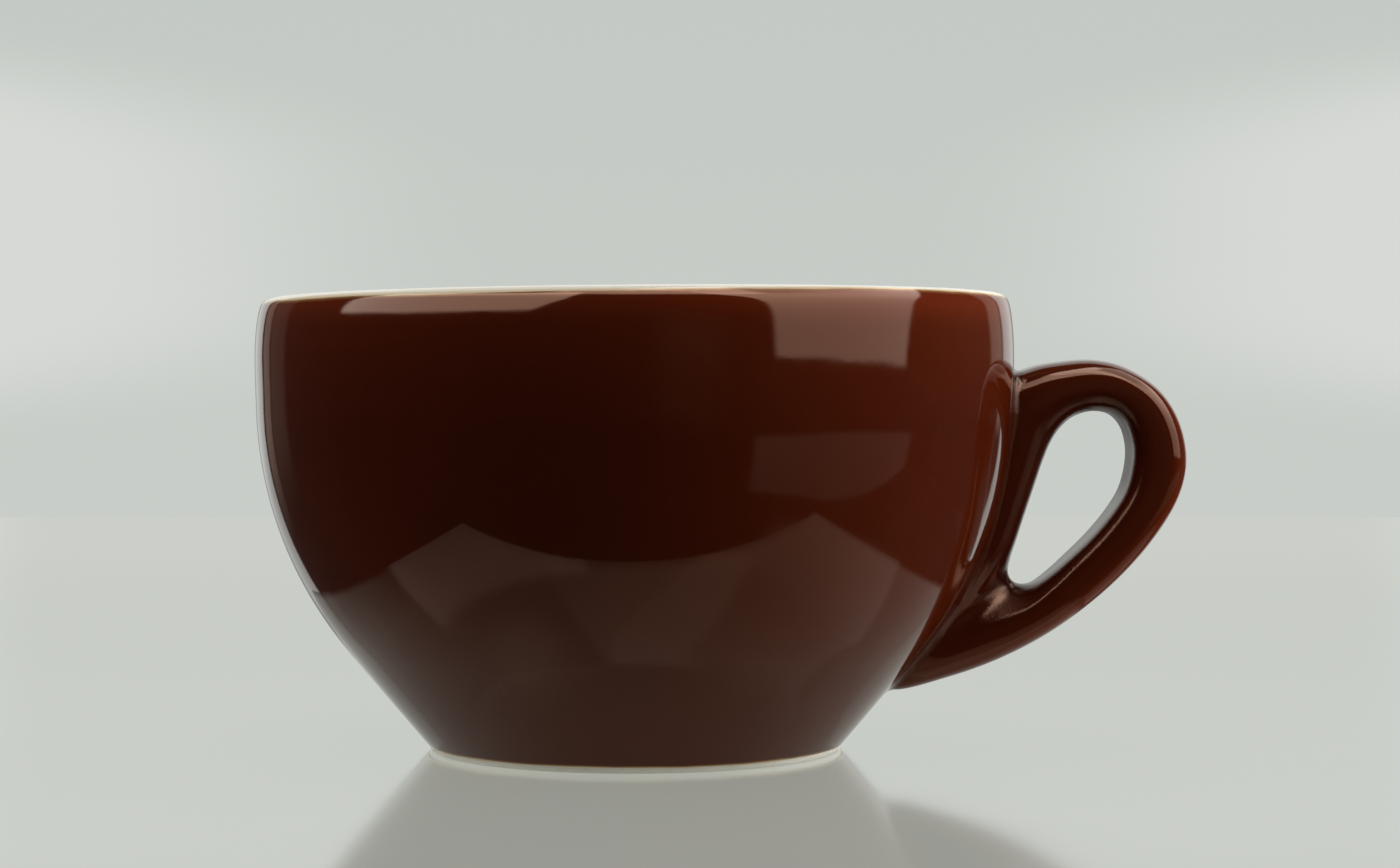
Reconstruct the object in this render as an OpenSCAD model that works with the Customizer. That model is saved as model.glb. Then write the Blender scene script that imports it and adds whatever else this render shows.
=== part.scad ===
// Cappuccino cup: thick-walled porcelain bowl with an ear handle.
// Lengths in mm. The cup stands on z = 0 with its axis on Z; the handle points along +X.
// Two clay pieces (bowl and handle) are joined by a layer of slip and then covered by
// coats of glaze: brown outside, white inside and over the lip, clear under the base.

/* [Bowl] */
// Greatest outside diameter of the glazed bowl
bowl_d = 94; // [88:1:100]
// Height from the table to the top of the lip
cup_h = 56.1; // [53:0.5:60]
// Wall thickness half way up, glaze included
wall_t = 4.8; // [4.2:0.1:5.4]
// Height of the inside floor at the centre
floor_z = 7.4; // [6.8:0.1:8.4]

/* [Foot] */
// Outer radius of the flat ring that the cup stands on
ring_ro = 25.3; // [24.9:0.1:25.5]
// Inner radius of the flat ring that the cup stands on
ring_ri = 22.9; // [22.0:0.1:23.4]
// Depth of the hollow under the base, at the centre
recess_z = 3.0; // [2.4:0.1:3.4]

/* [Glaze] */
// Thickness of every coat of glaze and of the slip in the handle joint
glaze_t = 0.3; // [0.25:0.05:0.35]
// Width of the bead of glaze around the handle root
bead_w = 0.7; // [0.4:0.1:1.0]
// Height of that bead above the wall
bead_h = 0.5; // [0.3:0.1:0.8]

/* [Handle] */
// Thickness of the handle at its fullest, seen from above, without glaze
handle_t = 11.2; // [10:0.2:11.6]
// How far the handle reaches from the axis of the bowl, without glaze
handle_x = 68.3; // [66:0.1:72]

/* [Hidden] */

$fn = 96;

sr = bowl_d / 94;      // radial scale of the drawn curves
sz = cup_h / 56.1;     // vertical scale of the drawn curves

// ---- curves -------------------------------------------------------------

// Points along a cubic curve; the end point is left out unless last is true.
function bez(p, n, last = false) =
    [for (i = [0 : last ? n : n - 1]) let (t = i / n, u = 1 - t)
        u*u*u*p[0] + 3*u*u*t*p[1] + 3*u*t*t*p[2] + t*t*t*p[3]];

function s2(p) = [p[0] * sr, p[1] * sz];
function s2s(ps) = [for (p = ps) s2(p)];
function rev(v) = [for (i = [len(v) - 1 : -1 : 0]) v[i]];
function unit(v) = v / norm(v);

// Unit normal, on the left of the direction of travel turned to the right,
// at point i of an open run of points.
function nrm(v, i) =
    let (a = v[max(i - 1, 0)], b = v[min(i + 1, len(v) - 1)], d = unit(b - a))
    [d[1], -d[0]];

// Outside of the glazed bowl from the foot to the edge of the brown glaze:
// a straight cone, a round shoulder, a nearly upright wall, a slight lean inwards.
brown_run = s2s(concat(
    bez([[25.9, 0.7], [29.2, 4.6], [32.4, 8.4], [35.4, 12.1]], 3),
    bez([[35.4, 12.1], [40.6, 18.4], [46.5, 28.4], [46.85, 42.5]], 14),
    bez([[46.85, 42.5], [46.9, 44.5], [47.0, 46.5], [47.0, 48.5]], 3),
    bez([[47.0, 48.5], [47.0, 50.7], [46.8, 53.0], [46.5, 54.4]], 4),
    bez([[46.5, 54.4], [46.4, 54.8], [46.3, 55.2], [46.1, 55.5]], 2, true)));

// Lip, inside wall and inside floor of the glazed bowl, from that edge to the axis.
in_r = 47 - wall_t;
white_run = concat(
    s2s(bez([[46.1, 55.5], [45.8, 55.9], [45.3, 56.1], [44.7, 56.1]], 5)),
    s2s(bez([[44.7, 56.1], [43.8, 56.1], [43.1, 55.6], [in_r + 0.6, 54.2]], 5)),
    s2s(bez([[in_r + 0.6, 54.2], [in_r + 0.1, 52.8], [in_r, 50.5], [in_r, 47.5]], 4)),
    s2s(bez([[in_r, 47.5], [in_r, 34.0], [39.0, 24.5], [31.2, 15.4]], 14)),
    bez([s2([31.2, 15.4]), s2([25.6, 8.9]), [19 * sr, floor_z + 0.3], [0, floor_z]], 14, true));

glazed = concat(brown_run, [for (i = [1 : len(white_run) - 1]) white_run[i]]);
nb = len(brown_run);

// Bare clay under the coats: the same run moved in by the thickness of the glaze.
clay = [for (i = [0 : len(glazed) - 1])
    i == len(glazed) - 1 ? [0, glazed[i][1] - glaze_t]
                         : glazed[i] - glaze_t * nrm(glazed, i)];

// Bare foot, from the axis under the base out to where the brown glaze starts.
ro = ring_ro * sr;
ri = ring_ri * sr;
recess_run = concat(
    [[0, recess_z], [9 * sr, recess_z - 0.05]],
    bez([[17.5 * sr, recess_z - 0.2], [20.6 * sr, recess_z - 0.25], [21.9 * sr, recess_z - 0.9], [ri - 0.4, 0.6]], 7, true));
foot_run = concat(
    bez([[ri - 0.4, 0.6], [ri - 0.3, 0.25], [ri - 0.15, 0], [ri, 0]], 3),
    [[ri, 0]],
    bez([[ro, 0], [ro + 0.2, 0], [clay[0][0], clay[0][1] - 0.6], clay[0]], 4));

module turn() rotate_extrude() children();

// ---- handle geometry ----------------------------------------------------

// Outer and inner outlines of the ear in the XZ plane, and the half thickness in Y,
// each as a closed list of matching points: over the top, down the outer limb to the
// tail, then up inside the wall of the bowl.
ear_out = [
    [49.0, 47.0], [53.0, 47.8], [57.0, 48.0], [60.8, 47.1], [64.7, 44.6], [67.2, 41.0],
    [68.3, 36.4], [67.6, 32.0], [65.2, 27.5], [61.2, 22.6], [56.3, 18.1], [50.9, 14.2],
    [45.0, 11.1], [39.0, 8.9], [32.6, 7.3], [30.0, 9.0], [34.2, 16.0], [38.6, 22.5],
    [41.2, 29.0], [42.8, 35.0], [43.5, 40.3], [44.3, 44.8]];
ear_in = [
    [52.9, 40.3], [54.6, 41.6], [56.9, 42.2], [59.3, 41.8], [61.0, 40.2], [61.8, 37.6],
    [61.7, 34.9], [60.9, 32.0], [59.2, 29.2], [56.8, 26.3], [54.1, 23.7], [51.6, 21.6],
    [49.5, 20.3], [47.8, 20.1], [46.7, 20.7], [46.3, 21.9], [46.5, 23.5], [47.1, 25.6],
    [48.0, 28.6], [49.4, 32.8], [50.5, 36.0], [51.6, 38.5]];
ear_half = [
    1.00, 0.98, 0.96, 0.94, 0.93, 0.93,
    0.93, 0.93, 0.93, 0.92, 0.91, 0.90,
    0.88, 0.85, 0.78, 0.78, 0.88, 0.94,
    0.97, 0.99, 1.00, 1.01];
// Squareness of each section; 2 is an ellipse, more is squarer. The outer half is the same
// all round, the inner half is flatter along the outer limb and rounder at the tail.
out_pow = 2.8;
ear_pow = [
    2.8, 2.8, 2.9, 3.2, 3.8, 4.3,
    4.4, 4.4, 4.4, 4.3, 4.0, 3.2,
    2.4, 2.0, 2.0, 2.2, 2.6, 2.8,
    2.8, 2.8, 2.8, 2.8];
ear_sub = 2;          // stations between matching points
ring_n = 20;          // steps around a section

function wrap(k, n) = (k + n) % n;
function cr(v, k, t) =
    let (n = len(v), a = v[wrap(k - 1, n)], b = v[wrap(k, n)], c = v[wrap(k + 1, n)], d = v[wrap(k + 2, n)])
    0.5 * (2*b + (c - a)*t + (2*a - 5*b + 4*c - d)*t*t + (3*b - a - 3*c + d)*t*t*t);

// The outline stretches with the handle's reach beyond the wall.
sx = (handle_x - 47 * sr) / (68.3 - 47);
function ear_pt(p) = [p[0] > 47 ? 47 * sr + (p[0] - 47) * sx : p[0] * sr, p[1] * sz];

stations = [for (k = [0 : len(ear_out) - 1], s = [0 : ear_sub - 1])
    let (t = s / ear_sub)
    [ear_pt(cr(ear_out, k, t)), ear_pt(cr(ear_in, k, t)), cr(ear_half, k, t) * handle_t / 2, cr(ear_pow, k, t)]];
ns = len(stations);

function spow(v, e) = sign(v) * pow(abs(v), e);

// Point at angle a of station s, grown outwards by g.
function sec(s, a, g) =
    let (o = s[0], i = s[1], m = (o + i) / 2, d = (o - i) / 2, l = norm(d), u = d / l,
         e = 2 / (cos(a) > 0 ? out_pow : s[3]),
         c = (l + g) * spow(cos(a), e), w = (s[2] + g) * spow(sin(a), e))
    [m[0] + c * u[0], w, m[1] + c * u[1]];

// One ring of points around the section of station i.
function ring(i, g) = [for (j = [0 : ring_n - 1]) sec(stations[i], 360 * (j + 0.5) / ring_n, g)];
function flat(v) = [for (r = v) each r];
function at(i, j) = (i % ns) * ring_n + j % ring_n;

// The whole ear as one closed loop, its back still running inside the wall.
module ear(g)
    polyhedron(points = flat([for (i = [0 : ns - 1]) ring(i, g)]),
        faces = [for (i = [0 : ns - 1], j = [0 : ring_n - 1], h = [0, 1])
            h == 0 ? [at(i, j), at(i + 1, j + 1), at(i + 1, j)]
                   : [at(i, j), at(i, j + 1), at(i + 1, j + 1)]]);

// Everything inside the outer surface of the glazed bowl, used to cut the ear to fit.
module bowl_block() turn() polygon(concat([[0, brown_run[0][1]]], brown_run, [[0, brown_run[nb - 1][1]]]));

// The coat on the bowl, and a collar that stands h above it; moved() shifts a run along its normals.
function moved(v, d) = [for (i = [0 : len(v) - 1]) v[i] + d * nrm(v, i)];
module bowl_coat() turn() polygon(concat(brown_run, rev([for (i = [0 : nb - 1]) clay[i]])));
module bowl_collar(h) turn() polygon(concat(moved(brown_run, h), rev(brown_run)));

// ---- pieces ---------------------------------------------------------------

// Thrown or pressed bowl in bare porcelain, with its floor and standing ring.
module cup_body()
    color([0.93, 0.91, 0.86]) turn()
        polygon(concat(recess_run, [for (i = [1 : len(foot_run) - 1]) foot_run[i]], clay));

// Ear handle in bare porcelain, cut to sit against the bowl.
module handle()
    color([0.90, 0.87, 0.80]) difference() { ear(0); bowl_block(); }

// Layer of slip that sticks the handle to the bowl, as deep as the coat of glaze.
module handle_slip_joint()
    color([0.80, 0.76, 0.68]) intersection() { ear(0); bowl_coat(); }

// Brown coat on the outside of the bowl, open where the handle is stuck on.
module outside_brown_glaze()
    color([0.33, 0.13, 0.07]) difference() { bowl_coat(); ear(0); }

// Brown coat on the handle, open towards the bowl.
module handle_brown_glaze()
    color([0.38, 0.15, 0.08]) difference() { ear(glaze_t); ear(0); bowl_block(); }

// Bead of slip and glaze that has gathered in the corner around the handle root.
module joint_bead()
    color([0.28, 0.10, 0.05]) difference() {
        intersection() { ear(glaze_t + bead_w); bowl_collar(bead_h); }
        ear(glaze_t);
    }

// White coat over the lip, down the inside wall and across the floor.
module inside_white_glaze()
    color([0.97, 0.97, 0.95]) turn()
        polygon(concat(white_run, rev([for (i = [nb - 1 : len(clay) - 1]) clay[i]])));

// Clear coat in the hollow under the base.
base_run = [for (i = [0 : len(recess_run) - 1])
    i == 0 ? [0, recess_run[0][1] - 0.25] : recess_run[i] + 0.25 * nrm(recess_run, i)];
module base_clear_glaze()
    color([0.95, 0.94, 0.90]) turn()
        polygon(concat(recess_run, rev(base_run)));

cup_body();
handle();
handle_slip_joint();
outside_brown_glaze();
handle_brown_glaze();
joint_bead();
inside_white_glaze();
base_clear_glaze();
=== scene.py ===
import math

import bpy
import numpy as np
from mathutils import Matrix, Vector
from mathutils.bvhtree import BVHTree


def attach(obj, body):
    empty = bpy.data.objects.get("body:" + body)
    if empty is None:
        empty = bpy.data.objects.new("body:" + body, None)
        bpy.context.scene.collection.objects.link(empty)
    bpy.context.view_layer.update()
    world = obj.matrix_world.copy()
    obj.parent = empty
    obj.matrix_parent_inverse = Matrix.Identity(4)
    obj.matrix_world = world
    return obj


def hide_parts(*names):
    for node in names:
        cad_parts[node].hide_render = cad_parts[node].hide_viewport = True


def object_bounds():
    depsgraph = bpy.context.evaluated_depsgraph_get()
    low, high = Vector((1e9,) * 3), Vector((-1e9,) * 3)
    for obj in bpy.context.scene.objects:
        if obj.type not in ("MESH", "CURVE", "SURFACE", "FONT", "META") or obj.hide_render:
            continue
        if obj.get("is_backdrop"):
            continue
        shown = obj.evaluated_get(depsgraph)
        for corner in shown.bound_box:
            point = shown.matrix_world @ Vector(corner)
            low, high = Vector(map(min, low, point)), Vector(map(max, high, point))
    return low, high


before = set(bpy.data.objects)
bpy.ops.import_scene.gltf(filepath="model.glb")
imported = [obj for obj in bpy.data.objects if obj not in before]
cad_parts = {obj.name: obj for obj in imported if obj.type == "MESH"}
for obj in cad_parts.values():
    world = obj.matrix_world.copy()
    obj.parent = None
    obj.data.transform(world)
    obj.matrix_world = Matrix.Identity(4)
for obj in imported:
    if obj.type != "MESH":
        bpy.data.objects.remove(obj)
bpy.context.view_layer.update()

MM = 0.001
GLAZE = 0.3          # thickness of the coats, mm
SEG = 384            # steps around the bowl
rng = np.random.default_rng(7)


# ---------------------------------------------------------------- curves, in mm

def bez(p, n, last=False):
    t = np.arange(n + 1 if last else n)[:, None] / n
    u = 1 - t
    p = np.array(p, float)
    return u**3 * p[0] + 3 * u * u * t * p[1] + 3 * u * t * t * p[2] + t**3 * p[3]


def normals_of(run):
    """Left-hand normals turned outwards, as the glaze grows."""
    a = np.vstack([run[:1], run[:-1]])
    b = np.vstack([run[1:], run[-1:]])
    d = b - a
    d /= np.linalg.norm(d, axis=1)[:, None]
    return np.column_stack([d[:, 1], -d[:, 0]])


BROWN = np.vstack([
    bez([[25.9, 0.7], [29.2, 4.6], [32.4, 8.4], [35.4, 12.1]], 18),
    bez([[35.4, 12.1], [40.6, 18.4], [46.5, 28.4], [46.85, 42.5]], 56),
    bez([[46.85, 42.5], [46.9, 44.5], [47.0, 46.5], [47.0, 48.5]], 9),
    bez([[47.0, 48.5], [47.0, 50.7], [46.8, 53.0], [46.5, 54.4]], 14),
    bez([[46.5, 54.4], [46.4, 54.8], [46.3, 55.2], [46.1, 55.5]], 8, True)])
IN_R = 42.2
WHITE = np.vstack([
    bez([[46.1, 55.5], [45.8, 55.9], [45.3, 56.1], [44.7, 56.1]], 10),
    bez([[44.7, 56.1], [43.8, 56.1], [43.1, 55.6], [IN_R + 0.6, 54.2]], 12),
    bez([[IN_R + 0.6, 54.2], [IN_R + 0.1, 52.8], [IN_R, 50.5], [IN_R, 47.5]], 10),
    bez([[IN_R, 47.5], [IN_R, 34.0], [39.0, 24.5], [31.2, 15.4]], 40),
    bez([[31.2, 15.4], [25.6, 8.9], [19, 7.7], [0, 7.4]], 44, True)])
GLAZED = np.vstack([BROWN, WHITE[1:]])
CLAY = GLAZED - GLAZE * normals_of(GLAZED)
CLAY[-1] = [0, 7.4 - GLAZE]
NB = len(BROWN)

RECESS = np.vstack([
    [[0, 3.0], [4.5, 2.98], [9, 2.95], [13.5, 2.88]],
    bez([[17.5, 2.8], [20.6, 2.75], [21.9, 2.1], [22.5, 0.6]], 16, True)])
FOOT = np.vstack([
    bez([[22.5, 0.6], [22.6, 0.25], [22.75, 0], [22.9, 0]], 8),
    [[22.9, 0], [23.9, 0]],
    bez([[25.3, 0], [25.5, 0], [CLAY[0][0], CLAY[0][1] - 0.6], CLAY[0]], 10)])


def wall_r(z):
    return np.interp(z, BROWN[:, 1], BROWN[:, 0])


def wall_normal(p):
    """Outward unit normals of the glazed wall at points p."""
    z = p[:, 2]
    k = (wall_r(z + 0.15) - wall_r(z - 0.15)) / 0.3
    r = np.hypot(p[:, 0], p[:, 1])
    n = np.column_stack([p[:, 0] / r, p[:, 1] / r, -k])
    return n / np.linalg.norm(n, axis=1)[:, None]


def on_wall(p):
    """Nearest points of the wall, by a few steps along its normal."""
    p = p.copy()
    for _ in range(5):
        n = wall_normal(p)
        f = np.hypot(p[:, 0], p[:, 1]) - wall_r(p[:, 2])
        slope = (n[:, 0] * p[:, 0] + n[:, 1] * p[:, 1]) / np.hypot(p[:, 0], p[:, 1])
        k = (wall_r(p[:, 2] + 0.15) - wall_r(p[:, 2] - 0.15)) / 0.3
        p -= n * (f / (slope - k * n[:, 2]))[:, None]
    return p


def wave(theta, seed, count=9, low=2):
    """Slow random waviness around the cup, about -1 to 1."""
    g = np.random.default_rng(seed)
    out = np.zeros_like(theta)
    for i in range(count):
        k = low + i * 2 + int(g.integers(0, 2))
        out += g.normal() / (1 + 0.35 * i) * np.cos(k * theta + g.uniform(0, 6.28))
    return out / 2.2


# ---------------------------------------------------------------- mesh helpers

def make(name, verts, faces, material, smooth=True, sharp=38, normals=None):
    me = bpy.data.meshes.new(name)
    me.from_pydata([tuple(v) for v in np.asarray(verts) * MM], [], [tuple(int(i) for i in f) for f in faces])
    me.validate(clean_customdata=False)
    me.update()
    if smooth:
        me.polygons.foreach_set("use_smooth", np.ones(len(me.polygons), bool))
        if sharp:
            me.set_sharp_from_angle(angle=math.radians(sharp))
    if normals is not None:
        me.normals_split_custom_set_from_vertices([tuple(n) for n in normals])
    me.materials.append(material)
    ob = bpy.data.objects.new(name, me)
    bpy.context.scene.collection.objects.link(ob)
    return ob


def revolve(loop, closed=True, seg=SEG, shift=None):
    """Turns a chain of (r, z) points. Points on the axis become one vertex.
    shift(i, theta) may move ring i by (dr, dz)."""
    theta = np.arange(seg) * 2 * np.pi / seg
    verts, rows = [], []
    for i, (r, z) in enumerate(loop):
        if r < 1e-6:
            rows.append([len(verts)])
            verts.append((0.0, 0.0, z))
            continue
        dr, dz = (0, 0) if shift is None else shift(i, theta)
        rr = r + dr
        ring = np.column_stack([rr * np.cos(theta), rr * np.sin(theta), np.broadcast_to(z + dz, theta.shape)])
        rows.append(list(range(len(verts), len(verts) + seg)))
        verts.extend(map(tuple, ring))
    faces = []
    n = len(rows)
    for i in range(n if closed else n - 1):
        a, b = rows[i], rows[(i + 1) % n]
        if len(a) == 1 and len(b) == 1:
            continue
        for j in range(seg):
            k = (j + 1) % seg
            if len(a) == 1:
                faces.append((a[0], b[k], b[j]))
            elif len(b) == 1:
                faces.append((a[j], a[k], b[0]))
            else:
                faces.append((a[j], a[k], b[k], b[j]))
    return np.array(verts), faces


# ---------------------------------------------------------------- ear handle, in mm

EAR_OUT = np.array([
    [49.0, 47.0], [53.0, 47.8], [57.0, 48.0], [60.8, 47.1], [64.7, 44.6], [67.2, 41.0],
    [68.3, 36.4], [67.6, 32.0], [65.2, 27.5], [61.2, 22.6], [56.3, 18.1], [50.9, 14.2],
    [45.0, 11.1], [39.0, 8.9], [32.6, 7.3], [30.0, 9.0], [34.2, 16.0], [38.6, 22.5],
    [41.2, 29.0], [42.8, 35.0], [43.5, 40.3], [44.3, 44.8]])
EAR_IN = np.array([
    [52.9, 40.3], [54.6, 41.6], [56.9, 42.2], [59.3, 41.8], [61.0, 40.2], [61.8, 37.6],
    [61.7, 34.9], [60.9, 32.0], [59.2, 29.2], [56.8, 26.3], [54.1, 23.7], [51.6, 21.6],
    [49.5, 20.3], [47.8, 20.1], [46.7, 20.7], [46.3, 21.9], [46.5, 23.5], [47.1, 25.6],
    [48.0, 28.6], [49.4, 32.8], [50.5, 36.0], [51.6, 38.5]])
EAR_HALF = np.array([
    1.00, 0.98, 0.96, 0.94, 0.93, 0.93, 0.93, 0.93, 0.93, 0.92, 0.91, 0.90,
    0.88, 0.85, 0.78, 0.78, 0.88, 0.94, 0.97, 0.99, 1.00, 1.01])[:, None]
# squareness of the inner half of each section; 2 is an ellipse
EAR_POW = np.array([
    2.8, 2.8, 2.9, 3.2, 3.8, 4.3, 4.4, 4.4, 4.4, 4.3, 4.0, 3.2,
    2.4, 2.0, 2.0, 2.2, 2.6, 2.8, 2.8, 2.8, 2.8, 2.8])[:, None]
OUT_POW = 2.8
HANDLE_T = 11.2


def closed_spline(v, sub):
    out = []
    n = len(v)
    for k in range(n):
        a, b, c, d = v[k - 1], v[k], v[(k + 1) % n], v[(k + 2) % n]
        for s in range(sub):
            t = s / sub
            out.append(0.5 * (2 * b + (c - a) * t + (2 * a - 5 * b + 4 * c - d) * t * t + (3 * b - a - 3 * c + d) * t**3))
    return np.array(out)


def ear(g, sub=12, ring=88):
    """Grid of points of the whole ear, grown by g, and their outward normals."""
    o, i, h = closed_spline(EAR_OUT, sub), closed_spline(EAR_IN, sub), closed_spline(EAR_HALF, sub) * HANDLE_T / 2
    m, d = (o + i) / 2, (o - i) / 2
    l = np.linalg.norm(d, axis=1)[:, None]
    u = d / l
    a = (np.arange(ring) + 0.5) * 2 * np.pi / ring
    power = np.where(np.cos(a) > 0, OUT_POW, closed_spline(EAR_POW, sub))
    sp = lambda v: np.sign(v) * np.abs(v) ** (2 / power)
    c, w = (l + g) * sp(np.cos(a)), (h + g) * sp(np.sin(a))
    pts = np.stack([m[:, :1] + c * u[:, :1], w, m[:, 1:] + c * u[:, 1:]], -1)
    ds = np.roll(pts, -1, 0) - np.roll(pts, 1, 0)
    da = np.roll(pts, -1, 1) - np.roll(pts, 1, 1)
    n = np.cross(ds, da)
    n /= np.linalg.norm(n, axis=2)[..., None] + 1e-12
    centre = np.stack([m[:, 0], 0 * m[:, 0], m[:, 1]], -1)[:, None]
    if ((pts - centre) * n).sum() < 0:
        n = -n
    return pts, n


def grid_quads(shape):
    s, r = shape
    i, j = np.meshgrid(np.arange(s), np.arange(r), indexing="ij")
    at = lambda a, b: (a % s) * r + b % r
    return np.stack([at(i, j), at(i + 1, j), at(i + 1, j + 1), at(i, j + 1)], -1).reshape(-1, 4)


def clip_outside(pts, nor):
    """The part of an ear grid outside the wall. Returns points, normals, faces and the cut loop."""
    shape = pts.shape[:2]
    P, N = pts.reshape(-1, 3), nor.reshape(-1, 3)
    f = np.hypot(P[:, 0], P[:, 1]) - wall_r(P[:, 2])
    f[np.abs(f) < 1e-5] = 1e-5
    keep = f > 0
    new_pts, new_nor, made, faces = [], [], {}, []
    base = np.cumsum(keep) - 1
    count = int(keep.sum())

    def cut(a, b):
        key = (min(a, b), max(a, b))
        if key not in made:
            t = f[a] / (f[a] - f[b])
            made[key] = count + len(new_pts)
            new_pts.append(P[a] + t * (P[b] - P[a]))
            n = N[a] + t * (N[b] - N[a])
            new_nor.append(n / np.linalg.norm(n))
        return made[key]

    rim = {}
    for q in grid_quads(shape):
        inside = keep[q]
        if not inside.any():
            continue
        if inside.all():
            faces.append([base[v] for v in q])
            continue
        poly, cuts = [], []
        for k in range(4):
            a, b = q[k], q[(k + 1) % 4]
            if keep[a]:
                poly.append(base[a])
            if keep[a] != keep[b]:
                c = cut(a, b)
                poly.append(c)
                cuts.append((c, keep[a]))
        faces.append(poly)
        if len(cuts) == 2:
            leave = [c for c, was_in in cuts if was_in][0]
            enter = [c for c, was_in in cuts if not was_in][0]
            rim[leave] = enter
    V = np.vstack([P[keep], on_wall(np.array(new_pts))])
    M = np.vstack([N[keep], np.array(new_nor)])
    start = next(iter(rim))
    loop, at = [start], rim[start]
    while at != start:
        loop.append(at)
        at = rim[at]
    return V, M, faces, loop


def stitch(V, A, B):
    """Faces between two closed loops that run the same way, in step along their length."""
    def share(loop, origin):
        p = V[loop]
        k = int(np.argmin(np.linalg.norm(p - origin, axis=1)))
        loop = loop[k:] + loop[:k]
        p = V[loop]
        d = np.linalg.norm(np.roll(p, -1, 0) - p, axis=1)
        return loop, np.concatenate([[0], np.cumsum(d)]) / d.sum()

    origin = V[A[0]]
    A, sa = share(A, origin)
    B, sb = share(B, origin)
    faces, i, j = [], 0, 0
    while i < len(A) or j < len(B):
        if j >= len(B) or (i < len(A) and sa[i + 1] <= sb[j + 1]):
            faces.append([A[i % len(A)], A[(i + 1) % len(A)], B[j % len(B)]])
            i += 1
        else:
            faces.append([A[i % len(A)], B[(j + 1) % len(B)], B[j % len(B)]])
            j += 1
    return faces


def even(p, n):
    """n points evenly along a closed loop."""
    q = np.vstack([p, p[:1]])
    s = np.concatenate([[0], np.cumsum(np.linalg.norm(np.diff(q, axis=0), axis=1))])
    t = np.arange(n) * s[-1] / n
    return np.column_stack([np.interp(t, s, q[:, k]) for k in range(3)])


def smooth_loop(v, passes):
    for _ in range(passes):
        v = 0.5 * v + 0.25 * (np.roll(v, 1, 0) + np.roll(v, -1, 0))
    return v


def unit(v):
    return v / (np.linalg.norm(v, axis=-1, keepdims=True) + 1e-12)


# ---------------------------------------------------------------- materials

def new_material(name):
    m = bpy.data.materials.new(name)
    m.use_nodes = True
    m.node_tree.nodes.clear()
    return m, m.node_tree.nodes, m.node_tree.links


class Tree:
    """Small helper that adds nodes and links them by value."""

    def __init__(self, tree):
        self.nodes, self.links = tree.nodes, tree.links

    def add(self, kind, **values):
        n = self.nodes.new(kind)
        for k, v in values.items():
            setattr(n, k, v)
        return n

    def feed(self, socket, value):
        if isinstance(value, bpy.types.NodeSocket):
            self.links.new(value, socket)
        else:
            socket.default_value = value

    def math(self, op, a, b=0.0, c=None, clamp=False):
        n = self.add("ShaderNodeMath", operation=op, use_clamp=clamp)
        self.feed(n.inputs[0], a)
        self.feed(n.inputs[1], b)
        if c is not None:
            self.feed(n.inputs[2], c)
        return n.outputs[0]

    def ramp(self, x, lo, hi, a=0.0, b=1.0, kind="SMOOTHSTEP"):
        n = self.add("ShaderNodeMapRange", interpolation_type=kind)
        for i, v in enumerate((x, lo, hi, a, b)):
            self.feed(n.inputs[i], v)
        return n.outputs[0]

    def mix(self, f, a, b):
        n = self.add("ShaderNodeMix", data_type="RGBA")
        self.feed(n.inputs[0], f)
        self.feed(n.inputs[6], a if isinstance(a, bpy.types.NodeSocket) else (*a, 1))
        self.feed(n.inputs[7], b if isinstance(b, bpy.types.NodeSocket) else (*b, 1))
        return n.outputs[2]

    def noise(self, vector, scale, detail=2.0, rough=0.5, out=0):
        n = self.add("ShaderNodeTexNoise")
        self.feed(n.inputs["Vector"], vector)
        n.inputs["Scale"].default_value = scale
        n.inputs["Detail"].default_value = detail
        n.inputs["Roughness"].default_value = rough
        return n.outputs[out]

    def voronoi(self, vector, scale, feature="F1"):
        n = self.add("ShaderNodeTexVoronoi", feature=feature)
        self.feed(n.inputs["Vector"], vector)
        n.inputs["Scale"].default_value = scale
        return n

    def bump(self, height, strength, distance, normal=None):
        n = self.add("ShaderNodeBump")
        n.inputs["Strength"].default_value = strength
        n.inputs["Distance"].default_value = distance
        self.feed(n.inputs["Height"], height)
        if normal is not None:
            self.feed(n.inputs["Normal"], normal)
        return n.outputs[0]

    def spots(self, vector, scale, size, share):
        """1 inside scattered round spots of radius size (m), in a share of the cells."""
        v = self.voronoi(vector, scale)
        sep = self.add("ShaderNodeSeparateColor")
        self.feed(sep.inputs[0], v.outputs["Color"])
        chosen = self.math("LESS_THAN", sep.outputs[0], share)
        radius = self.math("MULTIPLY", self.ramp(sep.outputs[1], 0, 1, 0.35, 1.0, "LINEAR"), size * scale)
        inside = self.ramp(self.math("DIVIDE", v.outputs["Distance"], radius), 0.6, 1.0, 1.0, 0.0)
        return self.math("MULTIPLY", inside, chosen)


def shader(t, colour, rough, normal=None, ior=1.5, coat=0.0, coat_rough=0.03, spec=0.5, tint=(1, 1, 1)):
    p = t.add("ShaderNodeBsdfPrincipled")
    t.feed(p.inputs["Base Color"], colour if isinstance(colour, bpy.types.NodeSocket) else (*colour, 1))
    t.feed(p.inputs["Roughness"], rough)
    p.inputs["IOR"].default_value = ior
    p.inputs["Specular IOR Level"].default_value = spec
    p.inputs["Specular Tint"].default_value = (*tint, 1)
    p.inputs["Coat Weight"].default_value = coat
    p.inputs["Coat Roughness"].default_value = coat_rough
    if normal is not None:
        t.feed(p.inputs["Normal"], normal)
    out = t.add("ShaderNodeOutputMaterial")
    t.links.new(p.outputs[0], out.inputs[0])
    return p


def object_coords(t):
    c = t.add("ShaderNodeTexCoord").outputs["Object"]
    s = t.add("ShaderNodeSeparateXYZ")
    t.links.new(c, s.inputs[0])
    return c, s.outputs


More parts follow.
